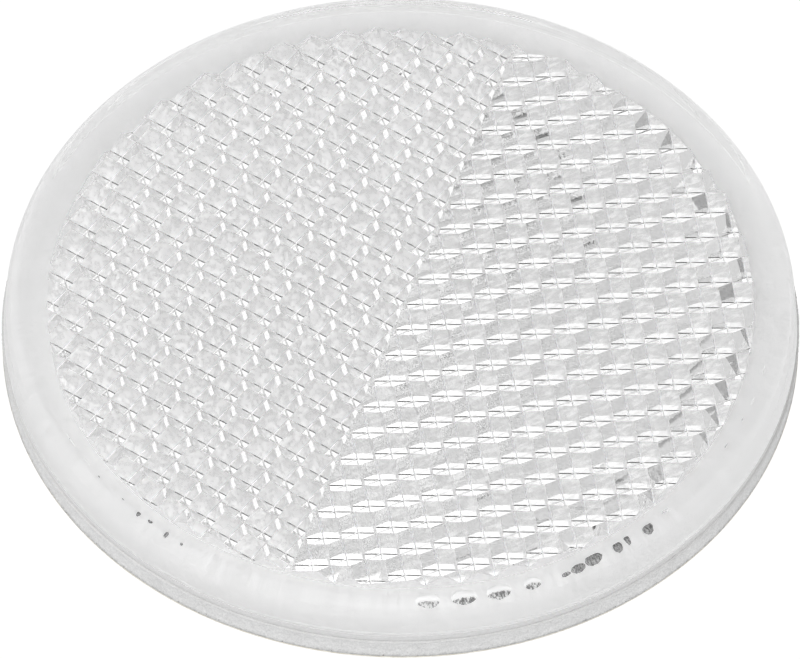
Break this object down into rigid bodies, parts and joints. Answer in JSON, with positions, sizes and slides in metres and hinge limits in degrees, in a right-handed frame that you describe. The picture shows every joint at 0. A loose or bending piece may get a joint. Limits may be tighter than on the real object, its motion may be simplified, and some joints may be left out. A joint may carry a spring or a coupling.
{
  "type": "stick-on prism reflector",
  "caption": "Round flat clear prism reflector with a two-way cube-corner field under a smooth face, a welded back cover, and a foam adhesive pad with a slit release liner.",
  "frame": {"origin": "centre of the liner's underside, the face the reflector rests on", "axes": "+Z leaves the viewing face along the disc's axis; +Y runs along the seam between the two prism fields, so +X and -X each hold one field"},
  "size_m": [0.0598, 0.0598, 0.0055],
  "materials": {
    "clear_acrylic": "clear moulded acrylic, polished face and prisms",
    "white_plastic": "satin moulded, white",
    "adhesive_film": "clear tacky film",
    "white_foam": "closed-cell foam with a die-cut grainy edge",
    "liner_paper": "silicone-coated paper"
  },
  "bodies": {
    "reflector": {"prism_lens": "clear_acrylic", "back_cover": "white_plastic", "cover_adhesive": "adhesive_film", "foam_pad": "white_foam", "wall_adhesive": "adhesive_film"},
    "large_liner": {"liner_large": "liner_paper"},
    "small_liner": {"liner_small": "liner_paper"}
  },
  "joints": [
    {"name": "large_liner_lift", "type": "slide", "parent": "reflector", "child": "large_liner", "axis": [0, 0, -1], "range_m": [0, 0.03]},
    {"name": "small_liner_lift", "type": "slide", "parent": "reflector", "child": "small_liner", "axis": [0, 0, -1], "range_m": [0, 0.03]}
  ]
}
